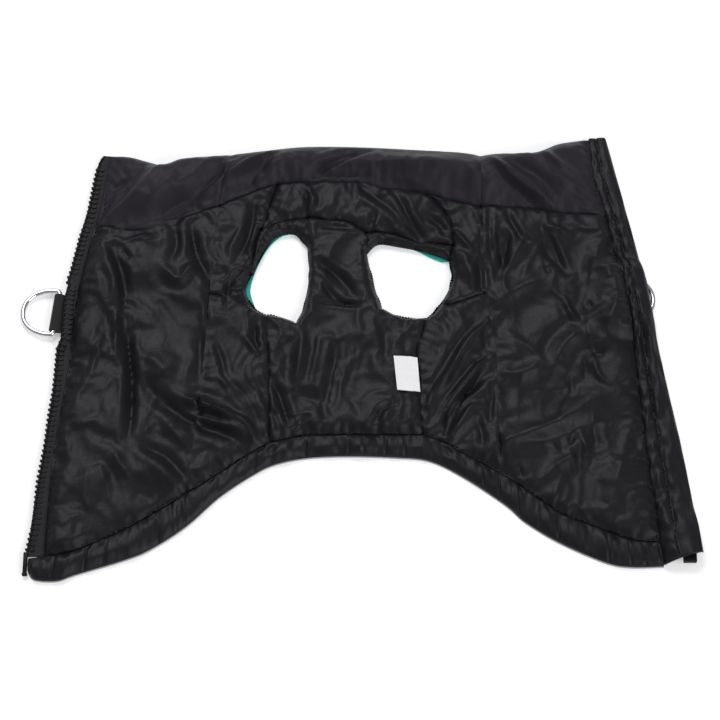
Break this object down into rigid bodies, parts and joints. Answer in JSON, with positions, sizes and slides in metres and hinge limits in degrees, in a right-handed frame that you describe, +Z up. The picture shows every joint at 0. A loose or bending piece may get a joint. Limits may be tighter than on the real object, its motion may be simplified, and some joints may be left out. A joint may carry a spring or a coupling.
{
  "type": "dog winter coat",
  "caption": "Padded dog coat unzipped and laid open lining up, with leg holes, a gathered hem, a divided back zip with a padded guard, and a leash ring on a webbing loop at each side.",
  "frame": {"origin": "on the table, under the middle of the coat's bounding box, as the coat lies open with its lining up", "axes": "+X across the coat from the zip half with teeth showing to the zip half under the guard, +Y from the hem to the neck, +Z up"},
  "size_m": [0.3926, 0.2846, 0.018],
  "materials": {
    "lining": "smooth glossy woven taffeta over thin wadding",
    "facing": "smooth woven taffeta with a soft sheen",
    "shell": "matt woven shell cloth",
    "trim": "pale reflective ribbon",
    "tape": "matt woven zip tape",
    "acetal": "satin moulded plastic",
    "webbing": "matt woven webbing",
    "chrome": "polished plated steel wire",
    "label": "matt woven ribbon, bare"
  },
  "bodies": {
    "coat": {"outer_shell": "shell", "neck_facing_left": "facing", "neck_facing_centre": "facing", "neck_facing_right": "facing", "back_lining_left": "lining", "back_lining_right": "lining", "side_upper_left": "lining", "side_upper_right": "lining", "side_lower_left": "lining", "side_lower_right": "lining", "chest_yoke": "lining", "chest_panel": "lining", "hole_binding_left": "lining", "hole_binding_right": "lining", "hem_casing": "lining", "hem_trim": "trim", "zip_tape_left": "tape", "zip_tape_right": "tape", "zip_guard": "lining", "zip_pin": "acetal", "zip_box": "acetal", "zip_slider": "acetal", "ring_tab_left": "webbing", "ring_tab_right": "webbing", "size_label": "label"},
    "ring_left": {"d_ring_left": "chrome"},
    "ring_right": {"d_ring_right": "chrome"},
    "pull_tab": {"zip_pull_tab": "acetal"}
  },
  "joints": [
    {"name": "ring_left_swing", "type": "hinge", "parent": "coat", "child": "ring_left", "pos_m": [-0.17478, 0.02478, 0.0029], "axis": [0.1045, 0.9945, 0], "range_deg": [-145, 125]},
    {"name": "ring_right_swing", "type": "hinge", "parent": "coat", "child": "ring_right", "pos_m": [0.15662, 0.03418, 0.0029], "axis": [0, 1, 0], "range_deg": [0, 150]},
    {"name": "pull_tab_swing", "type": "hinge", "parent": "coat", "child": "pull_tab", "pos_m": [0.18902, -0.11772, 0.00205], "axis": [-1, 0, 0], "range_deg": [0, 145]}
  ]
}
